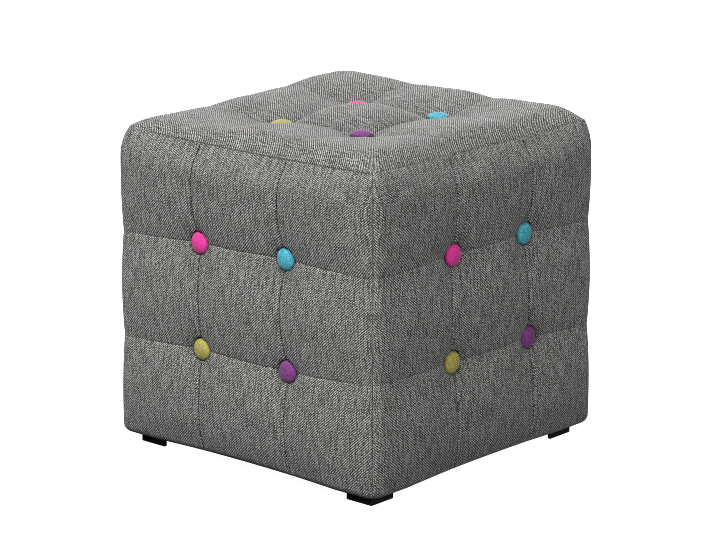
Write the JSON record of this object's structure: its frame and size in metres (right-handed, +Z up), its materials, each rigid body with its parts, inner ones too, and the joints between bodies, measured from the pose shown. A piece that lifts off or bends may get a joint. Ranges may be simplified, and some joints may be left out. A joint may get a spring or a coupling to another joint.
{
  "type": "cube pouf stool",
  "caption": "Low cube stool with padded, button-tufted sides and top in grey twill, sewn corner seams, coloured felt buttons and black plastic corner feet.",
  "frame": {"origin": "centre of the bounding box on the floor, under the middle of the stool", "axes": "+Z up, -Y out of the front panel, +X out of the right panel"},
  "size_m": [0.4215, 0.4214, 0.4068],
  "materials": {
    "grey_twill": "matt woven twill, dark and light grey yarns",
    "pink_felt": "matt felted cloth",
    "turquoise_felt": "matt felted cloth",
    "lime_felt": "matt felted cloth",
    "purple_felt": "matt felted cloth",
    "black_cloth": "matt bonded cloth over a board",
    "black_plastic": "moulded, satin"
  },
  "bodies": {
    "root": {"front_panel": "grey_twill", "right_panel": "grey_twill", "back_panel": "grey_twill", "left_panel": "grey_twill", "top_panel": "grey_twill", "front_button_pink": "pink_felt", "front_button_turquoise": "turquoise_felt", "front_button_lime": "lime_felt", "front_button_purple": "purple_felt", "right_button_pink": "pink_felt", "right_button_turquoise": "turquoise_felt", "right_button_lime": "lime_felt", "right_button_purple": "purple_felt", "back_button_pink": "pink_felt", "back_button_turquoise": "turquoise_felt", "back_button_lime": "lime_felt", "back_button_purple": "purple_felt", "left_button_pink": "pink_felt", "left_button_turquoise": "turquoise_felt", "left_button_lime": "lime_felt", "left_button_purple": "purple_felt", "top_button_pink": "pink_felt", "top_button_turquoise": "turquoise_felt", "top_button_lime": "lime_felt", "top_button_purple": "purple_felt", "base_board": "black_cloth", "foot_front_left": "black_plastic", "foot_front_right": "black_plastic", "foot_back_right": "black_plastic", "foot_back_left": "black_plastic"}
  },
  "joints": []
}
